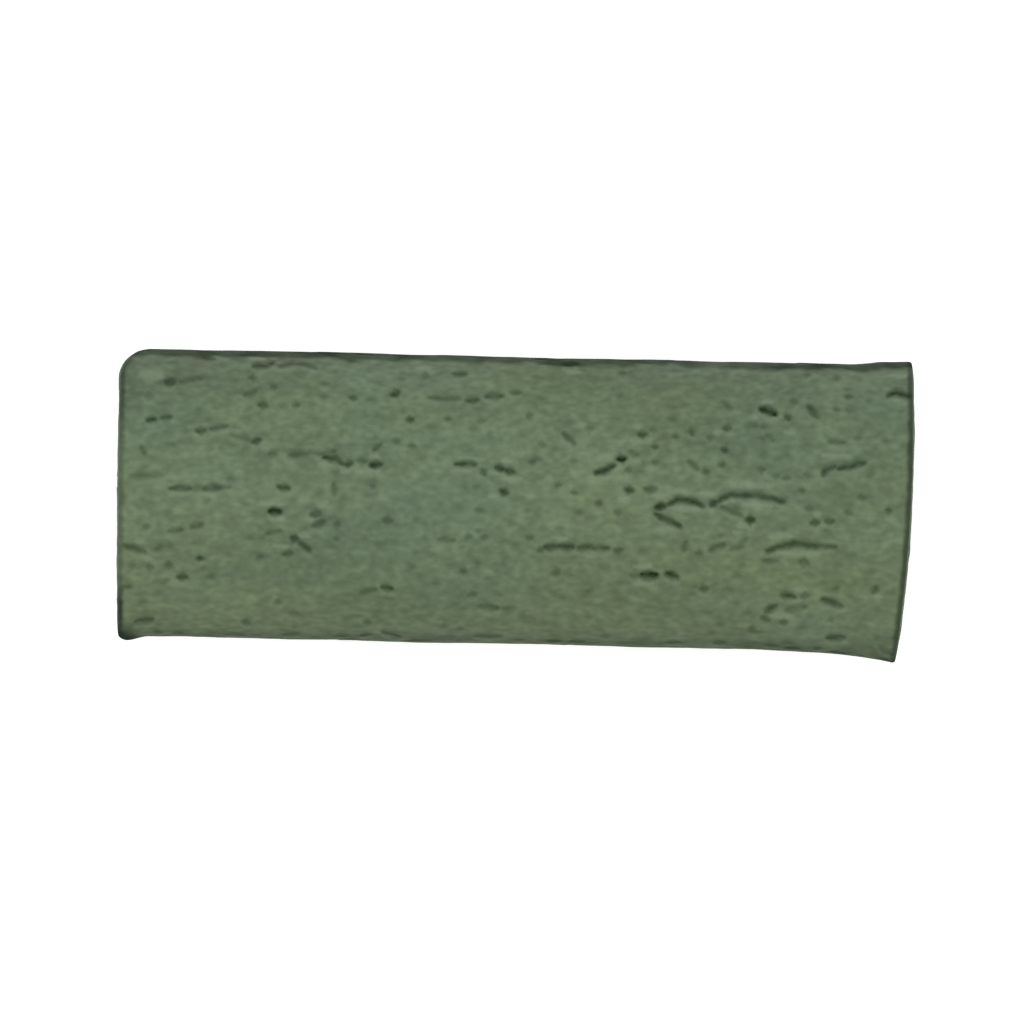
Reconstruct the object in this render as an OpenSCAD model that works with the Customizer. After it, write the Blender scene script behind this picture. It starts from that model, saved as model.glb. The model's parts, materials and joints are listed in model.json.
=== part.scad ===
// A short round crayon: one bare stick of pigmented wax, extruded and cut to length.
// It lies along X on a narrow flat. X = 0 is halfway along, Y = 0 is on its axis, Z = 0 is the flat.
// The blade went through both ends towards -Y: it rounds the +Y edge and drags the -Y edge out.
// All sizes are millimetres.

/* [Stick] */
// Diameter of the extruded stick
stick_d = 11; // [9:0.1:13]
// Length along the axis, from the butt face to the crest of the far cut
stick_l = 30.4; // [24:0.1:80]
// Chamfer round the butt edge
butt_chamfer = 0.12; // [0.05:0.01:0.3]
// Depth of the flat that the soft stick took from the board it dried on
flat_depth = 0.1; // [0.05:0.01:0.3]

/* [Butt cut] */
// Radius pressed into the butt edge where the blade went in
entry_r = 1.05; // [0.4:0.05:1.6]
// Height of the foot dragged out where the blade left
foot_h = 0.23; // [0.15:0.01:0.26]
// Length over which the foot rises
foot_l = 1.3; // [1:0.1:2]

/* [Far cut] */
// Bow radius of the cut face, in plan
cut_bow_r = 62; // [45:1:200]
// Offset of the bow's crest from the axis, towards the side where the blade went in
cut_crest = 2.2; // [0:0.1:3]
// Height of the lip dragged out where the blade left, at the end of its rise
lip_h = 0.44; // [0.3:0.01:0.6]
// Length over which the lip rises
lip_l = 4.6; // [3:0.1:6]
// Swelling of the stick all round at the far cut
swell_h = 0.15; // [0.05:0.01:0.18]
// Length over which the stick swells
swell_l = 4.8; // [3:0.1:6]

/* [Torn voids] */
// Depth of the torn voids as a share of their width
void_depth_share = 0.5; // [0.2:0.05:0.8]

/* [Hidden] */
$fn = 128;

stick_r = stick_d / 2;
axis_z = stick_r - flat_depth;
butt_x = -stick_l / 2;
far_x = stick_l / 2;
// Round nose of the foot
foot_nose_r = 0.35;
// A dragged edge is a tube a little narrower than the stick, which starts just under its surface
// and runs a little past the cut
drag_r = stick_r * 0.91;
drag_sink = 0.02;
drag_past = 0.3;
// Room past the stick for cutting tools, and the segments of long arcs
spare = 2;
arc_fn = 720;

// Air pockets that the die stretched and tore open, one row for each:
// [x, degrees round from the top towards +Y, length, width, tilt in the surface in degrees].
voids = [
    [-7.0, 15.9, 0.9, 0.22, -10],
    [-9.1, -5.8, 0.8, 0.28, 0],
    [-8.1, -18.8, 0.8, 0.22, -24],
    [-1.9, 14.6, 1.0, 0.22, 0],
    [-0.4, 13.0, 0.9, 0.22, -10],
    [3.4, 13.4, 0.8, 0.22, 22],
    [2.3, -17.8, 2.9, 0.16, 0],
    [6.4, 2.2, 1.9, 0.20, 0],
    [9.1, 3.6, 2.6, 0.18, 0],
    [6.0, -6.6, 1.0, 0.18, -26],
    [9.6, 38.8, 0.8, 0.26, -14],
    [11.0, -15.0, 2.7, 0.18, 0],
    [5.1, -29.8, 1.0, 0.22, 0],
    [14.6, 51.0, 0.9, 0.20, 0],
];

// Half-plane profile of the stick about its axis: the straight shaft and the swelling far end.
module shaft_profile() {
    swell_x = far_x - swell_l;
    swell_arc_r = swell_l * swell_l / (2 * swell_h);
    polygon([
        [0, butt_x],
        [stick_r - butt_chamfer, butt_x],
        [stick_r, butt_x + butt_chamfer],
        [stick_r, swell_x],
        [0, swell_x],
    ]);
    difference() {
        translate([0, swell_x]) square([stick_r + spare, swell_l + spare]);
        translate([stick_r + swell_arc_r, swell_x]) circle(r = swell_arc_r, $fn = arc_fn);
    }
}

// The extruded stick before it is cut, on its own axis along X.
module shaft() {
    rotate([0, 90, 0]) rotate_extrude() shaft_profile();
}

// A dragged edge: a tube from x = 0 that bends out of the stick's -Y side, by height at x = length.
module dragged_edge(length, height) {
    bend_r = length * length / (2 * height);
    turn = asin((length + drag_past) / bend_r);
    translate([0, -stick_r - bend_r + drag_sink, 0]) rotate([0, 0, 90 - turn])
        rotate_extrude(angle = turn) translate([bend_r + drag_r, 0]) circle(r = drag_r);
}

// What a rounded plan corner leaves out, with the corner at the origin and the stick at +X, -Y.
module corner_waste(radius) {
    translate([0, 0, -stick_r - spare]) linear_extrude(stick_d + 2 * spare) difference() {
        translate([-spare, -radius]) square([spare + radius, radius + spare]);
        translate([radius, -radius]) circle(r = radius);
    }
}

// Everything on the stick's side of the bowed far cut.
module far_cut() {
    translate([far_x - cut_bow_r, cut_crest, -stick_r - spare])
        cylinder(r = cut_bow_r, h = stick_d + 2 * spare, $fn = arc_fn);
}

// What lies outside the flat butt cut and its two corners.
module butt_waste() {
    translate([butt_x - stick_d, -stick_d, -stick_d]) cube([stick_d, 2 * stick_d, 2 * stick_d]);
    translate([butt_x, stick_r, 0]) corner_waste(entry_r);
    translate([butt_x, -stick_r - foot_h, 0]) mirror([0, 1, 0]) corner_waste(foot_nose_r);
}

// What lies under the flat.
module board() {
    translate([butt_x - spare, -stick_r - spare, -axis_z - spare])
        cube([stick_l + 2 * spare, stick_d + 2 * spare, spare]);
}

// A torn void: a slit that comes to a point at both ends, cut straight down to its depth.
module torn_void(x, degrees, length, width, tilt) {
    side_r = (length * length + width * width) / (4 * width);
    translate([x, 0, 0]) rotate([-degrees, 0, 0])
        translate([0, 0, stick_r - width * void_depth_share])
            rotate([0, 0, tilt]) linear_extrude(spare) intersection_for(side = [-1, 1])
                translate([0, side * (side_r - width / 2)]) circle(r = side_r);
}

module crayon_stick() {
    color("#68775D") translate([0, 0, axis_z]) difference() {
        intersection() {
            union() {
                shaft();
                translate([butt_x + foot_l, 0, 0]) mirror([1, 0, 0]) dragged_edge(foot_l, foot_h);
                translate([far_x - lip_l, 0, 0]) dragged_edge(lip_l, lip_h);
            }
            far_cut();
        }
        butt_waste();
        board();
        for (v = voids) torn_void(v[0], v[1], v[2], v[3], v[4]);
    }
}

crayon_stick();
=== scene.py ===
"""The looks of a short round crayon: one bare stick of grey-green pigmented wax.

The stick is one closed mesh that stands for the CAD node. Sizes are in millimetres until a mesh is made.
On the stick, x runs along the axis, phi is the angle round it from the top (+Z) towards +Y.
"""

import json
import math
from collections import namedtuple

import bpy
import numpy as np
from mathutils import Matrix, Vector
from mathutils.geometry import delaunay_2d_cdt


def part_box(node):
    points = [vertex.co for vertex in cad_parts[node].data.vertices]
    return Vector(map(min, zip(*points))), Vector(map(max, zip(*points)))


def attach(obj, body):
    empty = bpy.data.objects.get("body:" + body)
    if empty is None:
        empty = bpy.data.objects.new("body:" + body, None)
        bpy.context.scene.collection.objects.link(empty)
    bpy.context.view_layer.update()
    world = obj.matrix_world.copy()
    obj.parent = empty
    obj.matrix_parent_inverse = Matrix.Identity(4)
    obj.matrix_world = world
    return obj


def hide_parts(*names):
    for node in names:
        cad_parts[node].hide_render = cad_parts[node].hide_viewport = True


MM = 0.001

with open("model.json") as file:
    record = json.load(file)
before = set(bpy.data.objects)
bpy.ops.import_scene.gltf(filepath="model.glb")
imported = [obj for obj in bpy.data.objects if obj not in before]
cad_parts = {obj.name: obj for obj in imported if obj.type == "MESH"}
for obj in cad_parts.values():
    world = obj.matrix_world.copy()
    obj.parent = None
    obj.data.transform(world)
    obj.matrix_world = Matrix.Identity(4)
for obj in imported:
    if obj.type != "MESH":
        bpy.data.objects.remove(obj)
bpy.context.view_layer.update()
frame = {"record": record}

# The stick's own sizes, from the frame
grip = next(m for m in frame["record"]["mounts"] if m["name"] == "grip_shaft")
stick_low, stick_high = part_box("crayon_stick")
STICK_R = grip["dims"]["r_mm"]
AXIS_Z = grip["pos_m"][2] / MM
BUTT_X = stick_low[0] / MM
FAR_X = stick_high[0] / MM

# The butt cut: the corner where the blade went in, and the foot dragged out where it left, which keeps
# its height for FOOT_FLAT and is gone at FOOT_L. The face leans in by BUTT_LEAN at its -Y side.
ENTRY_R = 1.15
FOOT_H, FOOT_FLAT, FOOT_L, FOOT_NOSE_R = 0.19, 0.45, 1.35, 0.30
BUTT_LEAN = 0.13

# The far cut: the lip dragged out where the blade left, which fades over about LIP_L from LIP_END_X,
# a low burr where the blade went in, the swelling all round, and the bowed face
LIP_H, LIP_L, LIP_END_X = 0.42, 2.0, FAR_X - 0.53
BURR_H, BURR_L, BURR_END = 0.09, 2.5, 1.1
SWELL_H, SWELL_L = 0.06, 4.8
CUT_BOW_R, CUT_CREST = 62, 2.0

# A dragged edge is a tube a little narrower than the stick. All cut edges are rounded to EDGE_R.
DRAG_R = STICK_R * 0.91
EDGE_R = 0.13

# The mesh: columns round each end, closer within UPPER_REACH of the top, and rows round each cut edge
UPPER_REACH = math.radians(100)
UPPER_COLUMNS, UNDER_COLUMNS = 224, 76
EDGE_ROWS = 4
SEAM_POINTS = 120

# The spacing of the mesh's points, closest round the voids at least FINE_DEPTH deep, and how far each
# point is moved at random, as a share of the spacing
VOID_PITCH, UPPER_PITCH, UNDER_PITCH, FACE_PITCH = 0.060, 0.155, 0.26, 0.16
FINE_DEPTH = 0.34
JITTER = 0.15

# Voids that are scattered at random: shallow specks, bolder tears on the sides and underside, and pores
# on each cut face
SPECK_COUNT, TEAR_COUNT, PORE_COUNT = 420, 130, 60
SEED, BUTT_SEED, FAR_SEED = 11, 20, 30


# ---------------------------------------------------------------- helpers

def smooth_step(low, high, value):
    t = np.clip((value - low) / (high - low), 0, 1)
    return t * t * (3 - 2 * t)


def ripples(seed, u, v, wave_u, wave_v, count=28):
    """A smooth random field of about unit size, made of waves about wave_u by wave_v long."""
    rng = np.random.default_rng(seed)
    total = np.zeros(np.broadcast(u, v).shape)
    for _ in range(count):
        turn_u, turn_v = rng.normal(0, 1, 2)
        phase = rng.uniform(0, 2 * math.pi)
        total += np.cos(2 * math.pi * (turn_u * u / wave_u + turn_v * v / wave_v) + phase)
    return total * math.sqrt(2 / count)


# ---------------------------------------------------------------- torn voids

# Depth of a deep void as a share of its width, and how high a fully raised flake stands
VOID_DEPTH = 0.32
RAISED_H = 0.012

# The voids that show from above, each with its depth, about 1 for a deep one, its width in plan,
# and the points that it runs through, as x and y in plan.
VOIDS = [
    # near the butt
    (0.80, 0.28, [(-13.45, 4.25), (-13.15, 4.25)]),
    (0.40, 0.22, [(-12.9, 4.3), (-12.1, 4.4)]),
    (0.75, 0.28, [(-10.1, 4.95), (-9.7, 5.0), (-9.4, 5.1)]),
    (0.60, 0.24, [(-9.1, 4.97), (-8.6, 5.1), (-8.1, 5.05), (-7.75, 4.93)]),
    (0.55, 0.30, [(-12.0, 5.22), (-11.6, 5.17)]),
    (0.50, 0.24, [(-10.4, 3.82), (-10.0, 3.98)]),
    (0.60, 0.26, [(-9.85, 3.46), (-9.6, 3.44)]),
    (0.50, 0.26, [(-9.4, 1.6), (-9.2, 1.6)]),
    (0.50, 0.24, [(-8.65, 1.55), (-8.0, 1.62)]),
    (0.80, 0.26, [(-14.1, 2.78), (-13.85, 2.82)]),
    (0.65, 0.24, [(-13.6, 2.88), (-13.25, 2.92)]),
    (0.80, 0.26, [(-12.2, 2.4), (-11.95, 2.42)]),
    (0.50, 0.22, [(-11.7, 2.5), (-11.1, 2.62)]),
    (0.35, 0.24, [(-10.9, 2.3), (-10.2, 2.1)]),
    (0.75, 0.26, [(-10.05, 2.05), (-9.8, 2.1)]),
    (0.50, 0.24, [(-14.35, 1.75), (-14.2, 1.5)]),
    (0.35, 0.26, [(-14.7, 0.6), (-13.5, 0.7)]),
    (0.75, 0.22, [(-13.2, 0.18), (-12.4, 0.2)]),
    (0.65, 0.24, [(-11.9, 0.2), (-11.25, 0.25)]),
    (0.34, 0.20, [(-13.3, 0.2), (-12.2, 0.2), (-10.9, 0.25)]),
    (0.30, 0.20, [(-9.3, 1.72), (-8.2, 1.72), (-7.3, 1.6)]),
    (0.80, 0.24, [(-9.05, 0.32), (-8.65, 0.28)]),
    (1.15, 0.26, [(-9.36, -0.63), (-8.98, -0.64)]),
    (0.85, 0.26, [(-7.75, -0.7), (-7.5, -0.65)]),
    (0.60, 0.26, [(-7.65, -1.15), (-7.3, -0.95)]),
    (0.50, 0.20, [(-13.2, -1.45), (-12.7, -1.4)]),
    (0.85, 0.30, [(-8.5, -1.65), (-8.35, -1.7)]),
    (0.75, 0.26, [(-8.2, -1.8), (-7.8, -2.05)]),
    (0.55, 0.24, [(-8.8, -2.25), (-8.5, -2.2)]),
    (0.60, 0.24, [(-14.9, -2.05), (-14.1, -2.28)]),
    (0.50, 0.28, [(-12.3, -1.25), (-12.0, -1.22)]),
    (0.45, 0.22, [(-9.45, -1.47), (-8.95, -1.36)]),
    (0.75, 0.26, [(-12.08, -2.5), (-11.98, -2.5)]),
    (0.80, 0.26, [(-12.8, -3.22), (-12.5, -3.24)]),
    (0.70, 0.24, [(-14.4, -4.92), (-13.75, -4.88)]),
    (0.45, 0.24, [(-8.5, -4.5), (-8.2, -4.5)]),
    # the stretch left of the middle
    (0.45, 0.20, [(-7.4, 1.62), (-6.9, 1.75)]),
    (0.95, 0.25, [(-7.3, 1.5), (-6.9, 1.45), (-6.65, 1.3)]),
    (0.85, 0.26, [(-6.5, 1.28), (-6.3, 1.28)]),
    (0.50, 0.24, [(-6.0, 1.4), (-5.75, 1.4)]),
    (0.95, 0.27, [(-5.5, 1.25), (-5.15, 1.3)]),
    (0.55, 0.25, [(-5.4, 1.83), (-5.2, 2.05)]),
    (0.50, 0.26, [(-6.93, 0.5), (-6.9, 0.1)]),
    (0.35, 0.22, [(-5.5, 0.45), (-5.4, 0.4)]),
    (0.60, 0.26, [(-4.95, -0.9), (-4.7, -0.9)]),
    (0.45, 0.22, [(-5.8, -3.66), (-5.25, -3.52)]),
    (0.80, 0.24, [(-5.0, -3.42), (-4.6, -3.48)]),
    (0.55, 0.26, [(-6.35, 3.8), (-6.2, 3.8)]),
    (0.80, 0.26, [(-4.75, 3.95), (-4.55, 4.05)]),
    (0.75, 0.26, [(-4.15, 3.0), (-4.0, 3.03)]),
    (0.50, 0.24, [(-3.3, 3.88), (-2.7, 3.84), (-2.2, 3.84)]),
    (0.70, 0.25, [(-1.9, 3.82), (-1.5, 3.82)]),
    (0.70, 0.25, [(-1.15, 3.97), (-0.6, 3.99)]),
    (0.50, 0.22, [(-0.25, 4.12), (0.1, 4.16)]),
    (0.65, 0.22, [(-2.4, 4.8), (-2.0, 4.82)]),
    (0.85, 0.24, [(-2.25, 1.35), (-1.9, 1.38), (-1.55, 1.36)]),
    (0.85, 0.25, [(-0.7, 1.27), (-0.45, 1.2)]),
    (0.85, 0.27, [(-0.35, 1.15), (-0.1, 1.1)]),
    (0.85, 0.28, [(-0.5, 0.38), (-0.3, 0.28)]),
    (0.50, 0.26, [(-1.25, 1.15), (-1.15, 1.0)]),
    (0.40, 0.22, [(-2.85, -1.55), (-2.3, -1.55)]),
    (0.55, 0.22, [(-1.25, -4.06), (-0.55, -4.12)]),
    (0.30, 0.20, [(-0.3, -4.14), (0.1, -4.17)]),
    (0.55, 0.24, [(-1.4, -5.2), (-0.4, -5.2)]),
    (0.40, 0.22, [(-1.65, -3.65), (-1.4, -3.6)]),
    # right of the middle
    (1.00, 0.34, [(1.8, 5.3), (2.2, 5.3)]),
    (0.55, 0.26, [(1.85, 2.6), (2.22, 2.28)]),
    (0.90, 0.26, [(3.05, 1.14), (3.4, 1.24), (3.75, 1.44)]),
    (1.25, 0.30, [(3.96, 1.69), (4.14, 1.71)]),
    (0.80, 0.28, [(4.75, 2.66), (4.92, 2.68)]),
    (0.75, 0.28, [(4.27, 0.52), (4.45, 0.5)]),
    (0.45, 0.26, [(3.15, -0.02), (3.25, -0.05)]),
    (0.50, 0.26, [(6.65, 1.66), (6.95, 1.38)]),
    (0.36, 0.22, [(7.9, 3.98), (8.2, 3.74)]),
    (0.50, 0.26, [(9.35, 1.4), (9.5, 1.4)]),
    (0.40, 0.24, [(9.6, 2.75), (9.85, 2.55)]),
    (0.45, 0.26, [(4.45, 1.98), (4.65, 1.9)]),
    (0.50, 0.24, [(5.0, 0.55), (5.4, 0.55)]),
    (0.45, 0.22, [(1.6, 0.65), (1.7, 0.62)]),
    (0.45, 0.22, [(2.2, 0.36), (2.35, 0.36)]),
    (0.45, 0.26, [(3.9, -0.35), (4.1, -0.35)]),
    (0.50, 0.22, [(0.95, -1.92), (1.15, -1.8)]),
    (0.80, 0.25, [(1.2, -1.76), (1.65, -1.76)]),
    (0.75, 0.26, [(1.75, -1.72), (2.3, -1.75)]),
    (0.75, 0.26, [(2.5, -1.78), (3.0, -1.7)]),
    (0.75, 0.25, [(3.05, -1.76), (3.6, -1.74)]),
    (0.55, 0.26, [(3.9, -1.85), (4.15, -1.8)]),
    (0.50, 0.26, [(1.55, -2.72), (1.75, -2.72)]),
    (0.60, 0.20, [(4.55, -2.75), (4.8, -2.75)]),
    (1.12, 0.30, [(4.9, -2.76), (5.5, -2.76)]),
    (0.95, 0.28, [(5.88, -2.68), (6.25, -2.8)]),
    (0.60, 0.28, [(7.2, -3.2), (7.4, -3.2)]),
    (0.50, 0.24, [(6.6, -1.45), (6.5, -1.75)]),
    (0.35, 0.22, [(8.35, -1.7), (8.6, -1.62), (8.85, -1.3)]),
    (0.55, 0.24, [(7.55, -1.73), (8.05, -1.5)]),
    # the scaly patch towards the far cut
    (1.05, 0.28, [(5.47, -0.13), (5.72, -0.1)]),
    (0.88, 0.24, [(5.85, -0.02), (6.15, 0.16), (6.45, 0.21), (6.8, 0.13), (7.2, -0.05)]),
    (0.85, 0.23, [(5.4, -0.38), (5.85, -0.6), (6.35, -0.87)]),
    (0.90, 0.26, [(7.55, -0.02), (7.7, 0.1)]),
    (0.78, 0.23, [(7.7, 0.05), (7.95, 0.3), (8.3, 0.42), (9.1, 0.42), (9.8, 0.33), (10.3, 0.18)]),
    (0.45, 0.22, [(7.95, -0.05), (8.3, -0.2), (8.7, -0.4)]),
    (1.05, 0.31, [(8.92, -0.53), (9.12, -0.53)]),
    (0.70, 0.27, [(11.4, -0.6), (11.6, -0.57)]),
    (0.60, 0.23, [(11.9, -0.52), (12.2, -0.5)]),
    (0.45, 0.22, [(12.7, -0.12), (12.9, -0.2)]),
    (0.74, 0.23, [(9.72, -1.72), (10.1, -1.56), (10.8, -1.38), (11.4, -1.49), (12.3, -1.5)]),
    (0.35, 0.20, [(9.6, -2.1), (10.1, -2.1)]),
    (0.65, 0.26, [(11.02, -2.12), (11.22, -2.14)]),
    (0.75, 0.25, [(11.78, 1.25), (11.9, 1.5), (12.2, 1.62)]),
    (0.80, 0.25, [(12.35, 1.52), (12.8, 1.62), (13.35, 1.78)]),
    (1.15, 0.28, [(9.35, 3.73), (9.6, 3.66), (9.9, 3.54)]),
    (0.75, 0.25, [(10.32, 3.48), (10.4, 3.38)]),
    (0.70, 0.26, [(11.14, 3.9), (11.55, 3.46)]),
    (0.95, 0.26, [(14.22, 4.3), (14.5, 4.42), (15.0, 4.28)]),
    (0.60, 0.25, [(8.0, 3.0), (8.18, 2.98)]),
    (0.55, 0.25, [(6.68, 2.95), (6.74, 2.72)]),
    (0.65, 0.26, [(7.93, 2.17), (8.07, 2.1)]),
    (0.42, 0.22, [(11.95, 2.52), (12.55, 2.5)]),
    (0.60, 0.26, [(14.27, -0.09), (14.38, -0.09)]),
    (0.50, 0.26, [(13.22, 0.42), (13.4, 0.42)]),
    (0.85, 0.25, [(10.3, -3.38), (10.55, -3.4), (10.8, -3.44)]),
    (0.70, 0.26, [(9.7, -4.05), (9.9, -3.9), (10.1, -3.82)]),
    (0.45, 0.22, [(10.5, -3.96), (10.9, -3.9), (11.2, -3.84)]),
    (0.60, 0.24, [(9.62, -4.25), (9.82, -4.36)]),
    (0.70, 0.25, [(11.85, -3.52), (12.2, -3.6), (12.6, -3.75)]),
    (0.55, 0.24, [(13.82, -3.2), (13.92, -2.98)]),
    (0.45, 0.22, [(12.2, -4.2), (12.25, -4.3)]),
    (0.75, 0.24, [(12.1, -4.95), (12.7, -4.9)]),
    (0.45, 0.24, [(14.1, -5.1), (14.5, -5.2)]),
    (0.65, 0.22, [(2.3, -5.34), (2.75, -5.34)]),
    (0.60, 0.24, [(-4.9, -5.15), (-4.3, -5.32)]),
    # dark nicks along the lower edge
    (0.45, 0.24, [(-13.7, -5.32), (-13.4, -5.33)]),
    (0.40, 0.22, [(-12.9, -5.34), (-12.65, -5.34)]),
    (0.45, 0.22, [(-10.9, -5.36), (-10.3, -5.37)]),
    (0.50, 0.24, [(-8.65, -5.31), (-8.2, -5.28)]),
    (0.40, 0.22, [(-6.7, -5.34), (-6.3, -5.34)]),
    (0.55, 0.24, [(-5.75, -5.32), (-5.45, -5.28)]),
    (0.40, 0.20, [(0.1, -5.34), (0.45, -5.33)]),
    (0.65, 0.22, [(1.4, -5.34), (1.85, -5.34)]),
    (0.65, 0.24, [(6.0, -5.32), (6.45, -5.30)]),
    (0.75, 0.26, [(7.8, -5.26), (8.1, -5.26)]),
    (0.40, 0.22, [(9.75, -5.34), (10.15, -5.34)]),
    (0.65, 0.22, [(10.5, -5.40), (10.95, -5.40)]),
    (0.50, 0.22, [(11.65, -5.36), (11.85, -5.32)]),
    (0.65, 0.22, [(12.25, -5.44), (12.75, -5.45)]),
    (0.50, 0.22, [(13.2, -5.44), (13.45, -5.45)]),
]

# Fainter specks, as x, y and depth, all of one length and width in plan
SPECK_L, SPECK_WIDTH = 0.14, 0.25
SPECKS = [
    (-14.1, 3.68, 0.40), (-12.65, 2.4, 0.28), (-10.12, 4.49, 0.48), (-9.3, 4.17, 0.38),
    (-11.2, 1.8, 0.28), (-8.45, 3.48, 0.48), (-8.95, 3.45, 0.28), (-7.8, 3.5, 0.35),
    (-7.36, 4.32, 0.40), (-7.36, 3.82, 0.35), (-11.78, -0.3, 0.28), (-14.05, -1.31, 0.38),
    (-13.0, -0.95, 0.25), (-13.9, -2.87, 0.46), (-13.6, -2.15, 0.35), (-13.2, -2.02, 0.32),
    (-13.17, -2.78, 0.46), (-14.6, -2.82, 0.35), (-14.75, -3.62, 0.42), (-11.6, -3.15, 0.35),
    (-9.7, -2.4, 0.42), (-8.97, -4.07, 0.36), (-8.3, -5.0, 0.30), (-10.15, -4.92, 0.58),
    (-5.53, -4.79, 0.42), (-10.9, 0.6, 0.25), (-6.78, -1.07, 0.46), (-6.77, -1.6, 0.36),
    (-5.75, -1.6, 0.30), (-6.9, 0.9, 0.25), (-5.4, 2.3, 0.25), (-4.6, 2.2, 0.34),
    (-4.0, 2.0, 0.40), (-5.65, 3.75, 0.30), (-3.55, 4.73, 0.38), (-3.65, 4.35, 0.25),
    (-2.64, 3.08, 0.42), (-1.37, 3.0, 0.38), (-4.35, 3.3, 0.25), (-1.45, 0.5, 0.35),
    (-1.35, -0.4, 0.42), (-0.1, -0.85, 0.30), (0.7, -0.85, 0.25), (-1.74, -1.41, 0.44),
    (-1.1, -1.45, 0.40), (-1.89, -2.74, 0.45), (-2.6, -4.84, 0.36), (-2.0, -4.95, 0.36),
    (0.5, 3.27, 0.52), (0.95, 3.9, 0.28), (2.78, 2.8, 0.42), (1.0, 2.17, 0.34),
    (0.65, 1.5, 0.42), (2.2, 1.58, 0.40), (4.0, 4.97, 0.46), (4.35, 4.95, 0.28),
    (5.3, 2.22, 0.58), (5.25, 2.85, 0.42), (4.35, 1.3, 0.40), (4.8, 1.27, 0.32),
    (6.1, 2.6, 0.42), (7.45, 2.6, 0.45), (5.37, 1.6, 0.46), (7.3, 1.28, 0.42),
    (7.93, 1.55, 0.52), (10.0, 1.2, 0.42), (10.4, 1.12, 0.42), (11.2, 1.25, 0.40),
    (11.0, 0.65, 0.40), (9.5, 1.95, 0.32), (9.15, 3.08, 0.36), (9.5, 3.05, 0.36),
    (10.6, 4.02, 0.38), (11.05, 5.02, 0.42), (12.25, 4.95, 0.48), (12.22, 3.8, 0.42),
    (12.75, 3.75, 0.35), (12.7, 4.27, 0.42), (13.1, 2.7, 0.36), (9.5, 2.6, 0.25),
    (0.6, -1.4, 0.42), (2.5, -0.4, 0.36), (7.1, -1.87, 0.40), (4.9, -1.85, 0.30),
    (3.0, -3.4, 0.34), (8.2, 0.0, 0.25), (8.45, -0.12, 0.42), (9.0, -4.05, 0.36),
    (9.2, -4.72, 0.54), (8.0, -4.6, 0.28), (11.2, -3.4, 0.50), (12.4, -3.1, 0.42),
    (10.4, -4.43, 0.50), (11.3, -0.05, 0.34), (13.0, -1.85, 0.28), (3.58, -5.12, 0.40),
    (14.25, -5.15, 0.45), (7.6, -4.9, 0.30), (13.2, 1.9, 0.25),
]

# Raised flakes, painted pale as a highlight, as x, y, length and width in plan
FLAKES = [
    # in and round the scaly patch
    (8.2, 0.14, 0.35, 0.18), (5.5, 0.3, 0.4, 0.16), (6.55, -0.15, 1.2, 0.16), (6.25, 0.5, 0.7, 0.14),
    (7.35, 0.45, 0.6, 0.15), (9.15, 0.78, 1.7, 0.13), (5.85, -0.97, 0.4, 0.14), (5.1, -0.05, 0.25, 0.14),
    (8.65, -0.72, 0.3, 0.12), (9.3, 0.02, 1.2, 0.12), (8.55, -1.05, 0.25, 0.12), (4.22, 0.2, 0.35, 0.14),
    # along the marks towards the far cut
    (10.9, -1.76, 1.7, 0.14), (10.2, -1.12, 0.8, 0.13), (11.63, -0.27, 0.2, 0.14), (12.3, 1.97, 1.1, 0.14),
    (9.6, 4.0, 0.5, 0.14), (9.1, 3.4, 0.25, 0.13), (14.55, 4.1, 0.25, 0.14), (14.6, 5.0, 0.6, 0.14),
    (10.3, -4.18, 0.8, 0.18), (11.0, -3.12, 0.4, 0.16), (10.9, -3.6, 0.25, 0.14), (14.0, -3.35, 0.2, 0.13),
    (7.73, 2.8, 0.3, 0.13), (10.5, 2.85, 0.3, 0.12),
    # along the marks right of the middle
    (3.4, 1.75, 0.5, 0.20), (3.25, 0.96, 0.8, 0.16), (4.3, 0.92, 0.4, 0.16), (3.93, 1.36, 0.25, 0.14),
    (4.6, 2.36, 0.4, 0.15), (4.68, 2.95, 0.35, 0.14), (4.65, 1.62, 0.25, 0.13), (4.0, 2.35, 0.35, 0.13),
    (5.0, -2.4, 0.6, 0.13), (5.0, -3.06, 0.8, 0.13), (2.9, -2.08, 0.5, 0.12), (1.8, -1.42, 0.4, 0.12),
    (2.12, 4.98, 0.4, 0.14), (2.58, 1.86, 0.2, 0.13),
    # along the marks left of the middle
    (-0.3, 1.5, 0.4, 0.14), (-0.1, 0.82, 0.8, 0.14), (-0.8, 0.15, 0.3, 0.14), (-2.1, 1.1, 0.6, 0.14),
    (-5.6, 1.02, 0.9, 0.16), (-5.4, 1.57, 0.3, 0.12), (-6.5, 1.02, 0.3, 0.12), (-7.25, 1.2, 0.45, 0.16),
    (-3.55, 5.0, 0.5, 0.13),
    # near the butt
    (-9.3, -0.33, 0.8, 0.14), (-9.1, -0.92, 0.4, 0.14), (-7.4, -0.32, 0.3, 0.14),
    (-7.85, -0.94, 0.25, 0.13), (-8.9, -1.95, 0.5, 0.13), (-8.0, -1.52, 0.4, 0.14),
    (-14.8, 3.0, 0.25, 0.16), (-13.95, -2.5, 0.3, 0.13), (-14.3, -1.88, 0.4, 0.12),
    (-9.95, 5.2, 0.5, 0.12), (-14.0, 4.5, 0.7, 0.30),
]


# A void on the surface: its depth and width, the points it runs through as x and distance round from
# the top, and how much its place on a flank foreshortens it from above
Void = namedtuple("Void", "depth width points squeeze", defaults=[1.0])
LEAST_SQUEEZE = 0.5


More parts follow.
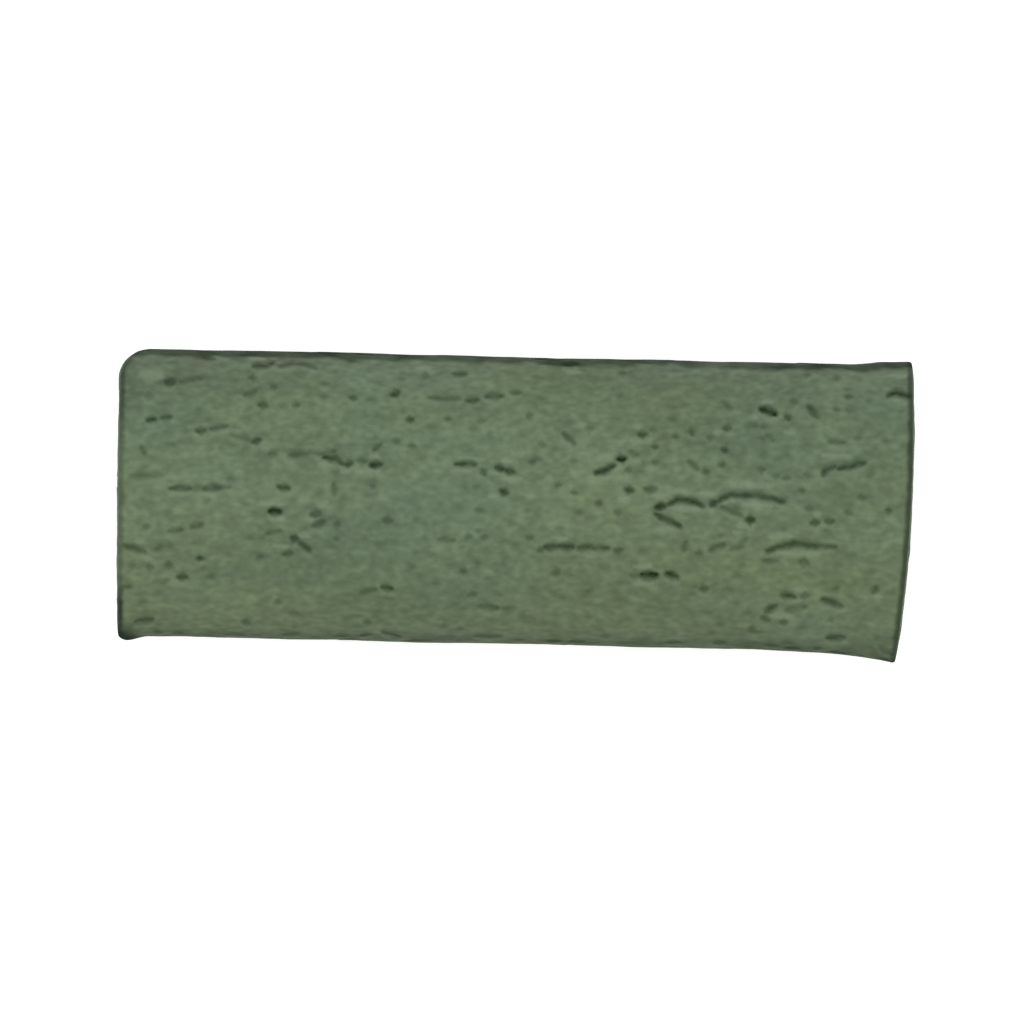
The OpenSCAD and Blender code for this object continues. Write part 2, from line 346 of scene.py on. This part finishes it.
def stroke_field(x, s, points, width):
    """1 on a stroke's middle line, 0 at its edge and negative outside. The stroke narrows to its ends."""
    steps = [math.dist(a, b) for a, b in zip(points, points[1:])]
    best, run = np.full_like(x, -9.0), 0.0
    for (ax, a_s), (bx, b_s), step in zip(points, points[1:], steps):
        dx, ds = bx - ax, b_s - a_s
        t = np.clip(((x - ax) * dx + (s - a_s) * ds) / step**2, 0, 1)
        along = (run + t * step) / sum(steps)
        half = width / 2 * (0.7 + 0.4 * np.sin(math.pi * along) ** 0.6)
        best = np.maximum(best, 1 - np.hypot(x - ax - t * dx, s - a_s - t * ds) / half)
        run += step
    return best


def void_field(x, s, void, shift=0.0):
    """The stroke field of one void, moved towards -Y by a share of its width."""
    middle = sum(ps for _, ps in void.points) / len(void.points)
    local = [(px, (ps - middle) * void.squeeze) for px, ps in void.points]
    return stroke_field(x, (s - middle) * void.squeeze + shift * void.width, local, void.width)


def arc_place(y):
    """Distance round the upper surface from the top to a point at y in plan."""
    return STICK_R * math.asin(y / STICK_R)


def seen_void(depth, width, plan_points):
    middle_y = sum(y for _, y in plan_points) / len(plan_points)
    points = [(x, arc_place(y)) for x, y in plan_points]
    return Void(depth, width, points, max(math.cos(arc_place(middle_y) / STICK_R), LEAST_SQUEEZE))


def scattered_voids(rng):
    """The lesser voids: shallow specks everywhere, and bolder tears on the sides and underside."""
    strokes = []
    for _ in range(SPECK_COUNT):
        x, s = rng.uniform(BUTT_X, FAR_X), rng.uniform(-math.pi, math.pi) * STICK_R
        length = rng.uniform(0.04, 0.2) + rng.exponential(0.12)
        depth = 0.12 + 0.22 * rng.uniform() ** 2
        strokes.append((depth, rng.uniform(0.18, 0.27), x, s, length, rng.normal(0, 0.25)))
    for _ in range(TEAR_COUNT):
        x = rng.uniform(BUTT_X, FAR_X)
        s = rng.choice([-1, 1]) * rng.uniform(math.radians(80), math.pi) * STICK_R
        length = rng.uniform(0.1, 0.3) + rng.exponential(0.3)
        strokes.append((rng.uniform(0.40, 1.0), rng.uniform(0.20, 0.30), x, s, length, rng.normal(0, 0.15)))
    for depth, width, x, s, length, slope in strokes:
        dx, ds = length / 2 * math.cos(slope), length / 2 * math.sin(slope)
        bend = rng.normal(0, 0.06) * length
        yield Void(depth, width, [(x - dx, s - ds), (x, s + bend), (x + dx, s + ds)])


def all_voids():
    """Every void on the side."""
    half = SPECK_L / 2
    seen = [seen_void(*row) for row in VOIDS]
    seen += [seen_void(depth, SPECK_WIDTH, [(x - half, y), (x + half, y)]) for x, y, depth in SPECKS]
    return seen + list(scattered_voids(np.random.default_rng(SEED)))


def wobble(x, s):
    """The same places moved a little, which makes the voids' edges ragged."""
    return x + 0.016 * ripples(1, x, s, 0.9, 0.7), s + 0.011 * ripples(2, x, s, 0.6, 0.5)


def beside(x, s, void):
    """Indices of the places in and round a void."""
    px, ps = np.array(void.points).T
    room_x = 1.5 * void.width + 0.1
    room_s = room_x / void.squeeze
    return np.flatnonzero(
        (x > px.min() - room_x) & (x < px.max() + room_x)
        & (s > ps.min() - room_s) & (s < ps.max() + room_s))


def near_voids(x, s, voids):
    """True where a point is in or beside a void that is deep enough to need close points."""
    x, s = wobble(x, s)
    close = np.zeros(x.shape, bool)
    for void in voids:
        if void.depth >= FINE_DEPTH:
            near = beside(x, s, void)
            close[near] |= void_field(x[near], s[near], void) > -1.2
    return close


def void_fields(x, s, voids):
    """How much painted shade, how deep in mm, and how raised with a painted highlight the surface is at
    each point, from all the voids.
    """
    x, s = wobble(x, s)
    uneven = np.clip(0.93 + 0.11 * ripples(7, x, s, 0.8, 0.6), 0.6, 1)
    dark, deep, raised = np.zeros_like(x), np.zeros_like(x), np.zeros_like(x)
    for void in voids:
        near = beside(x, s, void)
        field = void_field(x[near], s[near], void)
        # painted shade in the void, darkest at its core
        core = smooth_step(-1.5, 1.0, field) ** 1.6
        dark[near] = np.maximum(dark[near], 0.94 * void.depth**0.9 * uneven[near] * core)
        torn = VOID_DEPTH * void.depth * void.width * void.squeeze * smooth_step(-0.8, 1.4, field)
        deep[near] = np.maximum(deep[near], torn)
        # the torn edge stands up on the -Y side, where it is painted pale as a highlight
        rim = smooth_step(-0.8, 0.8, void_field(x[near], s[near], void, 0.85))
        raised[near] = np.maximum(raised[near], 0.5 * void.depth * rim)
    # raised flakes, which the material paints pale as a highlight
    for fx, fy, length, width in FLAKES:
        flake = seen_void(0.85, 1.5 * width, [(fx - length / 2, fy), (fx + length / 2, fy)])
        near = beside(x, s, flake)
        field = void_field(x[near], s[near], flake)
        raised[near] = np.maximum(raised[near], flake.depth * smooth_step(-0.7, 0.9, field))
    return dark, deep, raised * np.clip(1 - 1.6 * dark, 0, 1)


# ---------------------------------------------------------------- the stick's form

# What each point of the mesh carries for the material: how much painted shade a void gives it, how raised
# it is, which also sets a painted highlight, how much painted shade its flank takes, its distance from a
# cut in mm, how much painted shade darkens that cut's edge, and 1 on a cut face
FIELDS = ("void", "raised", "low_flank", "to_cut", "smear", "cut_face")


def dragged_r(theta, height):
    """Radius of the tube that a dragged edge makes, theta away from its crest."""
    off = STICK_R + height - DRAG_R
    return off * np.cos(theta) + np.sqrt(np.maximum(DRAG_R**2 - (off * np.sin(theta)) ** 2, 0))


def soft_max(a, b, blend):
    return 0.5 * (a + b + np.sqrt((a - b) ** 2 + blend**2)) - blend / 2


def side_radius(x, phi):
    """The stick's radius before the voids: shaft, swelling, foot, lip, and the marks of the die."""
    from_minus_y = np.angle(np.exp(1j * (phi + math.pi / 2)))
    swell = SWELL_H * np.clip((x - FAR_X + SWELL_L) / SWELL_L, 0, None) ** 2
    lip = LIP_H * np.exp(np.minimum(x - LIP_END_X, 0) / LIP_L)
    foot = FOOT_H * (1 - smooth_step(FOOT_FLAT, FOOT_L, x - BUTT_X))
    r = STICK_R + swell
    for height in (lip, foot):
        tube = np.where(np.abs(from_minus_y) < math.pi / 2, dragged_r(from_minus_y, height), 0)
        r = np.where(height > 0.001, np.maximum(r, soft_max(r, tube, 0.05)), r)
    # a low burr beside the far cut, where the blade went in
    burr = smooth_step(-BURR_L, -BURR_END, x - FAR_X) * np.clip(np.sin(phi), 0, 1) ** 3
    r += BURR_H * burr
    s = phi * STICK_R
    slow_waves = 0.012 * ripples(3, x, s, 9.0, 5.0)
    die_lines = 0.0035 * ripples(4, x, s, 30.0, 0.7)
    dimples = 0.003 * ripples(5, x, s, 1.6, 0.5)
    return r + slow_waves + die_lines + dimples


def plan_corner(past, radius):
    """How far a rounded plan corner sets the face back, past the place where the rounding starts."""
    return radius - np.sqrt(radius**2 - np.clip(past, 0, 0.985 * radius) ** 2)


def butt_face_x(y):
    lean = BUTT_LEAN * (np.clip(STICK_R - y, 0, None) / (2 * STICK_R)) ** 2
    entry = plan_corner(y - (STICK_R - ENTRY_R), ENTRY_R)
    nose = plan_corner(-y - (STICK_R + FOOT_H - FOOT_NOSE_R), FOOT_NOSE_R)
    return BUTT_X + lean + entry + nose


def far_face_x(y):
    return FAR_X - (y - CUT_CREST) ** 2 / (2 * CUT_BOW_R)


def lattice(low, high, pitch, rng):
    """Points of a triangular lattice over a rectangle, each moved a little at random."""
    rows = np.arange(low[1], high[1], pitch * math.sqrt(3) / 2)
    places = np.arange(low[0], high[0], pitch)
    u, v = np.meshgrid(places, rows)
    u = u + pitch / 2 * (np.arange(len(rows)) % 2)[:, None]
    return np.stack([u.ravel(), v.ravel()], -1) + rng.uniform(-JITTER, JITTER, (u.size, 2)) * pitch


def columns():
    """Angles of the points round each end, from the seam under the stick and back to it."""
    under = np.linspace(UPPER_REACH, math.pi, UNDER_COLUMNS // 2 + 1)
    upper = np.linspace(-UPPER_REACH, UPPER_REACH, UPPER_COLUMNS + 1)
    return np.concatenate([-under[:0:-1], upper, under[1:-1]])


def end_rings(phi, cut_x, face_x, inward):
    """Rows of x and inset that round the edge of one cut, from the cut face to the side."""
    turn = np.linspace(0, math.pi / 2, EDGE_ROWS + 1)[:, None]
    inset = EDGE_R * (1 - np.sin(turn)) + 0 * phi
    y = (side_radius(cut_x + inward * EDGE_R, phi) - inset) * np.sin(phi)
    return face_x(y) + inward * EDGE_R * (1 - np.cos(turn)), inset


def side_outline(phi, butt_row, far_row, seam_x):
    """The side's outline, laid flat as x and s = STICK_R * phi, with the seam at both of its long edges."""
    s_row, seam_s = phi * STICK_R, math.pi * STICK_R
    across = np.append(s_row, seam_s)
    return np.concatenate([
        np.stack([np.append(butt_row, butt_row[0]), across], -1),
        np.stack([seam_x, np.full_like(seam_x, seam_s)], -1),
        np.stack([np.append(far_row, far_row[0]), across], -1)[::-1],
        np.stack([seam_x, np.full_like(seam_x, -seam_s)], -1)[::-1],
    ])


def side_inner(voids, phi, butt_row, far_row):
    """The points inside that outline, close together where a void is torn."""
    rng = np.random.default_rng(SEED + 1)
    seam_s = math.pi * STICK_R
    low, high = (BUTT_X, -seam_s), (FAR_X, seam_s)
    fine = lattice(low, high, VOID_PITCH, rng)
    fine = fine[near_voids(*fine.T, voids)]
    reach = UPPER_REACH * STICK_R
    upper, under = lattice(low, high, UPPER_PITCH, rng), lattice(low, high, UNDER_PITCH, rng)
    coarse = np.concatenate([upper[np.abs(upper[:, 1]) < reach], under[np.abs(under[:, 1]) >= reach]])
    inner = np.concatenate([fine, coarse[~near_voids(*coarse.T, voids)]])
    room = 0.5 * UPPER_PITCH
    first = np.interp(inner[:, 1], phi * STICK_R, butt_row, period=2 * seam_s) + room
    last = np.interp(inner[:, 1], phi * STICK_R, far_row, period=2 * seam_s) - room
    return inner[(inner[:, 0] > first) & (inner[:, 0] < last) & (np.abs(inner[:, 1]) < seam_s - room)]


def triangulate(outline, inner):
    """Triangles over the points inside an outline. They name the outline's points first."""
    flat = [Vector(p) for p in np.concatenate([outline, inner])]
    _, _, faces, origins, _, _ = delaunay_2d_cdt(flat, [], [list(range(len(outline)))], 1, 1e-7)
    return np.array([[origins[i][0] for i in face] for face in faces])


def on_side(x, phi, inset, voids):
    """Places on the side, with the painted shade of the voids and how raised each is, which also sets a
    painted highlight.
    """
    dark, deep, raised = void_fields(x, phi * STICK_R, voids)
    r = side_radius(x, phi) - inset - deep + RAISED_H * raised
    z = np.maximum(AXIS_Z + r * np.cos(phi), 0)
    return np.stack([x, r * np.sin(phi), z], -1), dark, raised


# Strength of the painted shade just under the +Y limb
PLUS_Y_SHADE = 0.60


def low_flank(x, phi):
    """How much painted shade darkens the wax: most just under the +Y limb, less elsewhere."""
    ragged = 0.5 * ripples(6, x, phi, 5.0, 40.0) + 1.0 * ripples(9, x, phi, 1.3, 0.6)
    turned = np.degrees(np.abs(phi)) + ragged
    under = 1 - 0.8 * smooth_step(88, 120, turned)
    plus_y = PLUS_Y_SHADE * smooth_step(69.0, 75.6, turned) * under
    # painted shade on the -Y flank, on the foot by the butt cut, and beside the far cut's lip
    minus_y = 0.08 * smooth_step(40, 62, turned) + 0.34 * smooth_step(64, 80, turned) * under
    foot = 0.35 * smooth_step(58, 76, turned) * (1 - smooth_step(0.4, 1.2, x - BUTT_X))
    lip = 0.11 * smooth_step(38, 66, turned) * smooth_step(-4.5, -0.5, x - FAR_X)
    patchy = 1 + 0.07 * ripples(8, x, phi, 2.5, 4.0)
    return np.clip(np.where(phi > 0, plus_y, minus_y + foot + lip) * patchy, 0, 1)


def slant(face_x, y):
    """How many times further off a cut face is along X than straight across, at y."""
    return np.hypot(1, (face_x(y + 0.01) - face_x(y - 0.01)) / 0.02)


def cut_edge_shade(x, y):
    """How much painted shade darkens a cut's edge: most at the far cut, and where the blade went in or came
    out.
    """
    at_sides = 0.28 * smooth_step(1.5, 4.5, y) + 0.55 * smooth_step(-3.3, -4.3, y)
    return np.where(x < 0, 0.42 + at_sides, 0.78)


def cut_inner(ring, face_x, outward, seed):
    """The points inside a cut face, with how much painted shade its pores give each and how far each is
    from the edge.
    """
    rng = np.random.default_rng(seed)
    outline = ring[:, 1:]
    inner = lattice(outline.min(0), outline.max(0), FACE_PITCH, rng)
    middle = outline.mean(0)
    ring_angle, ring_r = np.arctan2(*(outline - middle).T), np.hypot(*(outline - middle).T)
    order = np.argsort(ring_angle)
    angle, radius = np.arctan2(*(inner - middle).T), np.hypot(*(inner - middle).T)
    to_edge = np.interp(angle, ring_angle[order], ring_r[order], period=2 * math.pi) - radius
    inner, to_edge = inner[to_edge > 0.6 * FACE_PITCH], to_edge[to_edge > 0.6 * FACE_PITCH]

    y, z = inner.T
    inside = smooth_step(0, 0.4, to_edge)
    drag = 0.022 * ripples(seed + 1, z, y, 0.8, 9.0) + 0.015 * ripples(seed + 2, y, z, 3.0, 2.0)
    dark = np.zeros_like(y)
    for _ in range(PORE_COUNT):
        py, pz = rng.uniform(outline.min(0), outline.max(0))
        size, long_y = rng.uniform(0.08, 0.2), rng.uniform(1, 2.4)
        gap = 1 - np.hypot((y - py) / (size * long_y), (z - pz) / size)
        dark = np.maximum(dark, rng.uniform(0.4, 1.0) * smooth_step(0, 0.7, gap))
    x = face_x(y) + outward * (drag - 0.14 * dark) * inside
    return np.stack([x, y, z], -1), dark * inside, to_edge


def ring_quads(rows, flipped):
    """Quads between the rows of one end's rings."""
    right = np.roll(rows, -1, 1)
    quads = np.stack([rows[:-1], rows[1:], right[1:], right[:-1]], -1).reshape(-1, 4)
    return quads[:, ::-1] if flipped else quads


def make_side():
    """The side with its two rounded edges: points and their fields, faces, and the ring round each cut."""
    voids, phi = all_voids(), columns()
    butt_x, butt_inset = end_rings(phi, BUTT_X, butt_face_x, 1)
    far_x, far_inset = end_rings(phi, FAR_X, far_face_x, -1)
    seam_x = np.linspace(butt_x[-1, 0], far_x[-1, 0], SEAM_POINTS)[1:-1]
    inner = side_inner(voids, phi, butt_x[-1], far_x[-1])

    x = np.concatenate([butt_x.ravel(), far_x.ravel(), seam_x, inner[:, 0]])
    all_phi = np.concatenate([np.tile(phi, 2 * len(butt_x)), np.full_like(seam_x, -math.pi),
                              inner[:, 1] / STICK_R])
    inset = np.zeros_like(x)
    inset[:2 * butt_x.size] = np.concatenate([butt_inset.ravel(), far_inset.ravel()])
    points, dark, raised = on_side(x, all_phi, inset, voids)
    butt_gap = (x - np.interp(all_phi, phi, butt_x[0])) / slant(butt_face_x, points[:, 1])
    to_cut = np.minimum(butt_gap, np.interp(all_phi, phi, far_x[0]) - x)
    smear = cut_edge_shade(x, points[:, 1])
    part = (points, dark, raised, low_flank(x, all_phi), to_cut, smear, np.zeros_like(x))

    # the flat outline goes up the seam and down it again, so the seam's points are named twice
    butt_ids = np.arange(butt_x.size).reshape(butt_x.shape)
    far_ids = butt_ids + butt_x.size
    seam_ids = 2 * butt_x.size + np.arange(len(seam_x))
    inner_ids = seam_ids[-1] + 1 + np.arange(len(inner))
    names = np.concatenate([butt_ids[-1], butt_ids[-1, :1], seam_ids, far_ids[-1, :1], far_ids[-1, ::-1],
                            seam_ids[::-1], inner_ids])
    faces = names[triangulate(side_outline(phi, butt_x[-1], far_x[-1], seam_x), inner)].tolist()
    faces += ring_quads(butt_ids, False).tolist() + ring_quads(far_ids, True).tolist()
    return part, faces, butt_ids[0], far_ids[0]


def make_cut(ring_ids, ring, first_id, face_x, outward, seed):
    """One cut face inside its ring: points and their fields, and faces."""
    points, dark, to_edge = cut_inner(ring, face_x, outward, seed)
    names = np.concatenate([ring_ids, first_id + np.arange(len(points))])
    triangles = triangulate(ring[:, 1:], points[:, 1:])
    none = np.zeros_like(dark)
    part = (points, dark, none, none, to_edge, cut_edge_shade(*points.T[:2]), none + 1)
    # seen along X, triangles that run anticlockwise in y and z face +X
    return part, names[triangles if outward > 0 else triangles[:, ::-1]].tolist()


def wax_mesh(points, faces, fields):
    """A Blender mesh that carries each field as an attribute."""
    mesh = bpy.data.meshes.new("crayon_wax")
    mesh.from_pydata((points * MM).tolist(), [], faces)
    mesh.validate()
    mesh.polygons.foreach_set("use_smooth", [True] * len(mesh.polygons))
    for name, values in zip(FIELDS, fields):
        layer = mesh.attributes.new(name, "FLOAT", "POINT")
        layer.data.foreach_set("value", values.astype(np.float32))
    mesh.update()
    return mesh


def make_stick():
    """The whole stick as one closed mesh."""
    side, faces, butt_ids, far_ids = make_side()
    parts, point_count = [side], len(side[0])
    for ids, face_x, outward, seed in (
            (butt_ids, butt_face_x, -1, BUTT_SEED), (far_ids, far_face_x, 1, FAR_SEED)):
        cut, cut_faces = make_cut(ids, side[0][ids], point_count, face_x, outward, seed)
        parts.append(cut)
        faces += cut_faces
        point_count += len(cut[0])
    points, *fields = (np.concatenate(arrays) for arrays in zip(*parts))
    stick = bpy.data.objects.new("crayon_wax", wax_mesh(points, faces, fields))
    bpy.context.collection.objects.link(stick)
    return stick


# ---------------------------------------------------------------- materials

class Nodes:
    """Short calls for building a node tree."""

    def __init__(self, material):
        material.use_nodes = True
        self.tree = material.node_tree
        self.shader = self.tree.nodes["Principled BSDF"]

    def link(self, source, target):
        self.tree.links.new(source, target)

    def put(self, socket, value):
        if isinstance(value, bpy.types.NodeSocket):
            self.link(value, socket)
        else:
            socket.default_value = value

    def math(self, operation, a, b=0.0, c=0.0, clamp=False):
        node = self.tree.nodes.new("ShaderNodeMath")
        node.operation, node.use_clamp = operation, clamp
        for socket, value in zip(node.inputs, (a, b, c)):
            self.put(socket, value)
        return node.outputs[0]

    def attribute(self, name):
        node = self.tree.nodes.new("ShaderNodeAttribute")
        node.attribute_name = name
        return node.outputs["Fac"]

    def ramp(self, value, low, high, to_low=0.0, to_high=1.0):
        node = self.tree.nodes.new("ShaderNodeMapRange")
        node.interpolation_type = "SMOOTHSTEP"
        for name, number in (("Value", value), ("From Min", low), ("From Max", high),
                             ("To Min", to_low), ("To Max", to_high)):
            self.put(node.inputs[name], number)
        return node.outputs[0]

    def place(self, axis):
        """One coordinate of the surface, in metres."""
        coordinates = self.tree.nodes.new("ShaderNodeTexCoord")
        split = self.tree.nodes.new("ShaderNodeSeparateXYZ")
        self.link(coordinates.outputs["Object"], split.inputs[0])
        return split.outputs[axis]

    def noise(self, size_mm, stretch=(1, 1, 1), detail=2.0, roughness=0.5, seed=0.0):
        """Noise whose features are about size_mm across, stretched along each axis."""
        coordinates = self.tree.nodes.new("ShaderNodeTexCoord")
        scale = self.tree.nodes.new("ShaderNodeMapping")
        scale.inputs["Scale"].default_value = [1 / (MM * size_mm * k) for k in stretch]
        scale.inputs["Location"].default_value = (seed, seed * 1.7, seed * 0.6)
        node = self.tree.nodes.new("ShaderNodeTexNoise")
        node.inputs["Scale"].default_value = 1.0
        node.inputs["Detail"].default_value = detail
        node.inputs["Roughness"].default_value = roughness
        self.link(coordinates.outputs["Object"], scale.inputs[0])
        self.link(scale.outputs[0], node.inputs["Vector"])
        return node.outputs["Fac"]

    def mix(self, amount, a, b, blend="MIX"):
        node = self.tree.nodes.new("ShaderNodeMix")
        node.data_type, node.blend_type = "RGBA", blend
        for socket, value in ((node.inputs[0], amount), (node.inputs[6], a), (node.inputs[7], b)):
            self.put(socket, value)
        return node.outputs[2]


# Linear colours of the wax, of the painted highlight on flakes, and of the painted shade in voids, along
# cut edges and on its lower flanks
WAX = (0.103, 0.141, 0.081, 1)
WAX_YELLOW = (0.109, 0.144, 0.075, 1)
WAX_BLUE = (0.096, 0.136, 0.090, 1)
HIGHLIGHT_PALE = (0.170, 0.220, 0.146, 1)
VOID_SHADE = (0.009, 0.022, 0.006, 1)
EDGE_SHADE = (0.020, 0.029, 0.018, 1)
FLANK_SHADE = (0.007, 0.013, 0.007, 1)


def pigment(n, mottle, grain):
    """The wax's colour away from voids, edges and flanks."""
    # slow drifts of hue, bluer towards +Y
    drift = n.math("MULTIPLY_ADD", n.place("Y"), -0.020 / MM, n.noise(6.0, (1.5, 1, 1), 2, 0.5, 3.1))
    colour = n.mix(n.ramp(drift, 0.30, 0.70), WAX_BLUE, WAX_YELLOW)
    patches = n.noise(1.6, (1.8, 1, 1), 2, 0.5, 8.7)
    colour = n.mix(n.ramp(patches, 0.10, 0.90, 0.2, 0.8), colour, WAX)
    # lighter and darker at five scales, drawn out a little lengthwise
    streak = n.noise(0.9, (3.0, 1, 1), 2, 0.5, 21.0)
    cloud = n.noise(4.5, (2.0, 1, 1), 1, 0.5, 27.0)
    speckle = n.noise(0.24, (1.3, 1, 1.8), 0, 0.5, 17.0)
    shade = n.math("MULTIPLY_ADD", mottle, 0.58, 0.74)
    for field, strength, least in (
            (speckle, 0.40, 0.80), (streak, 0.20, 0.90), (grain, 0.20, 0.90), (cloud, 0.44, 0.78)):
        shade = n.math("MULTIPLY", shade, n.math("MULTIPLY_ADD", field, strength, least))
    return n.mix(1.0, colour, shade, "MULTIPLY")


def wax_material():
    material = bpy.data.materials.new("crayon_wax")
    n = Nodes(material)
    mottle = n.noise(0.40, (1.5, 1, 1.8), 1, 0.5, 11.0)
    grain = n.noise(0.10, (1.5, 1, 1), 2, 0.6, 4.4)
    colour = pigment(n, mottle, grain)

    # Painted shade darkens the lower flanks towards a dark green, most just under the +Y limb
    uneven = n.math("MULTIPLY_ADD", n.noise(0.8, (2.5, 1, 1.8), 2, 0.5, 61.0), 0.6, 0.7)
    low = n.math("MULTIPLY", n.attribute("low_flank"), uneven, clamp=True)
    colour = n.mix(low, colour, FLANK_SHADE)

    # Torn flakes and the -Y rims of voids get a painted highlight, cut edges are darkened with painted
    # shade, and voids get the darkest painted shade
    colour = n.mix(n.math("MULTIPLY", n.attribute("raised"), 0.75), colour, HIGHLIGHT_PALE)
    ragged = n.math("MULTIPLY_ADD", n.noise(0.5, (1, 1, 1), 2, 0.5, 51.0), -0.18, n.attribute("to_cut"))
    # painted shade along each cut edge, with a ragged border
    edge = n.math("SUBTRACT", 1.0, n.ramp(ragged, 0.0, 0.21))
    colour = n.mix(n.math("MULTIPLY", edge, n.attribute("smear")), colour, EDGE_SHADE)
    # painted shade in the voids and pores, darkest at their cores
    torn = n.math("MULTIPLY", n.attribute("void"), n.ramp(grain, 0.30, 0.60, 0.88, 1.06), clamp=True)
    colour = n.mix(torn, colour, VOID_SHADE)
    n.link(colour, n.shader.inputs["Base Color"])

    # Wax is satin where the die smoothed it, and rough in the voids and on the cut faces
    rough = n.math("MULTIPLY_ADD", grain, 0.22, 0.50)
    rough = n.math("MULTIPLY_ADD", n.math("MAXIMUM", torn, n.attribute("cut_face")), 0.15, rough)
    n.link(rough, n.shader.inputs["Roughness"])
    # the flanks with painted shade are matte too
    n.link(n.math("MULTIPLY_ADD", low, -0.06, 0.04, clamp=True), n.shader.inputs["Specular IOR Level"])

    height = n.math("MULTIPLY_ADD", mottle, 0.6, n.math("MULTIPLY", grain, 0.4))
    bump = n.tree.nodes.new("ShaderNodeBump")
    bump.inputs["Strength"].default_value = 0.7
    bump.inputs["Distance"].default_value = 0.05 * MM
    n.link(height, bump.inputs["Height"])
    n.link(bump.outputs[0], n.shader.inputs["Normal"])
    return material


# ---------------------------------------------------------------- stage

# The camera looks straight down, with no perspective
FRAME_WIDTH = 39.2
CAMERA_HEIGHT = 400
ROLL_DEG = 1.29
AIM_RIGHT, AIM_UP = -0.10, -0.440

# Radiances on a surface that faces up: the room's even light, and the softbox above it. The softbox's
# sizes are in metres.
ROOM_LIGHT = 0.60
BOX_LIGHT = 0.72
BOX_HEIGHT, BOX_SIZE, BOX_TILT_DEG = 1.7, 1.0, 1

# The floor is a light table, which keeps shadows faint. Its sizes are in metres.
FLOOR_GLOW = 0.50
FLOOR_SIZE, FLOOR_DEPTH, FLOOR_TOP = 3.0, 0.1, -0.00002


def make_floor():
    """A closed slab, whose inside glows too, so a camera that dips below its top still sees white."""
    half = FLOOR_SIZE / 2
    plan = [(-half, -half), (half, -half), (half, half), (-half, half)]
    corners = [(x, y, z) for z in (FLOOR_TOP - FLOOR_DEPTH, FLOOR_TOP) for x, y in plan]
    walls = [(i, (i + 1) % 4, (i + 1) % 4 + 4, i + 4) for i in range(4)]
    mesh = bpy.data.meshes.new("floor")
    mesh.from_pydata(corners, [], [(3, 2, 1, 0), (4, 5, 6, 7)] + walls)
    floor = bpy.data.objects.new("floor", mesh)
    bpy.context.collection.objects.link(floor)
    material = bpy.data.materials.new("floor")
    n = Nodes(material)
    n.shader.inputs["Base Color"].default_value = (0.75, 0.75, 0.75, 1)
    n.shader.inputs["Roughness"].default_value = 0.9
    n.shader.inputs["Specular IOR Level"].default_value = 0.0
    n.shader.inputs["Emission Color"].default_value = (1, 1, 1, 1)
    n.shader.inputs["Emission Strength"].default_value = FLOOR_GLOW
    floor.data.materials.append(material)


def make_camera():
    data = bpy.data.cameras.new("camera")
    data.type, data.ortho_scale = "ORTHO", FRAME_WIDTH * MM
    camera = bpy.data.objects.new("camera", data)
    roll = math.radians(ROLL_DEG)
    right = Vector((math.cos(roll), math.sin(roll), 0))
    up = Vector((-math.sin(roll), math.cos(roll), 0))
    camera.location = (right * AIM_RIGHT + up * AIM_UP + Vector((0, 0, CAMERA_HEIGHT))) * MM
    camera.rotation_euler = (0, 0, roll)
    data.clip_start, data.clip_end = 0.01, 10
    bpy.context.collection.objects.link(camera)
    bpy.context.scene.camera = camera


def make_lights():
    world = bpy.data.worlds.new("room")
    world.use_nodes = True
    background = world.node_tree.nodes["Background"]
    background.inputs["Color"].default_value = (1, 1, 1, 1)
    background.inputs["Strength"].default_value = ROOM_LIGHT
    bpy.context.scene.world = world

    data = bpy.data.lights.new("softbox", "AREA")
    data.shape, data.size = "DISK", BOX_SIZE
    # the power that gives a white surface straight below it the radiance BOX_LIGHT
    data.energy = BOX_LIGHT * (math.pi * BOX_HEIGHT) ** 2
    softbox = bpy.data.objects.new("softbox", data)
    tilt = math.radians(BOX_TILT_DEG)
    softbox.location = (0, BOX_HEIGHT * math.sin(tilt), BOX_HEIGHT * math.cos(tilt))
    softbox.rotation_euler = (-tilt, 0, 0)
    bpy.context.collection.objects.link(softbox)


make_camera()
make_lights()
make_floor()
bpy.context.scene.view_settings.view_transform = "Standard"

stick = make_stick()
stick.data.materials.append(wax_material())
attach(stick, "root")
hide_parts("crayon_stick")
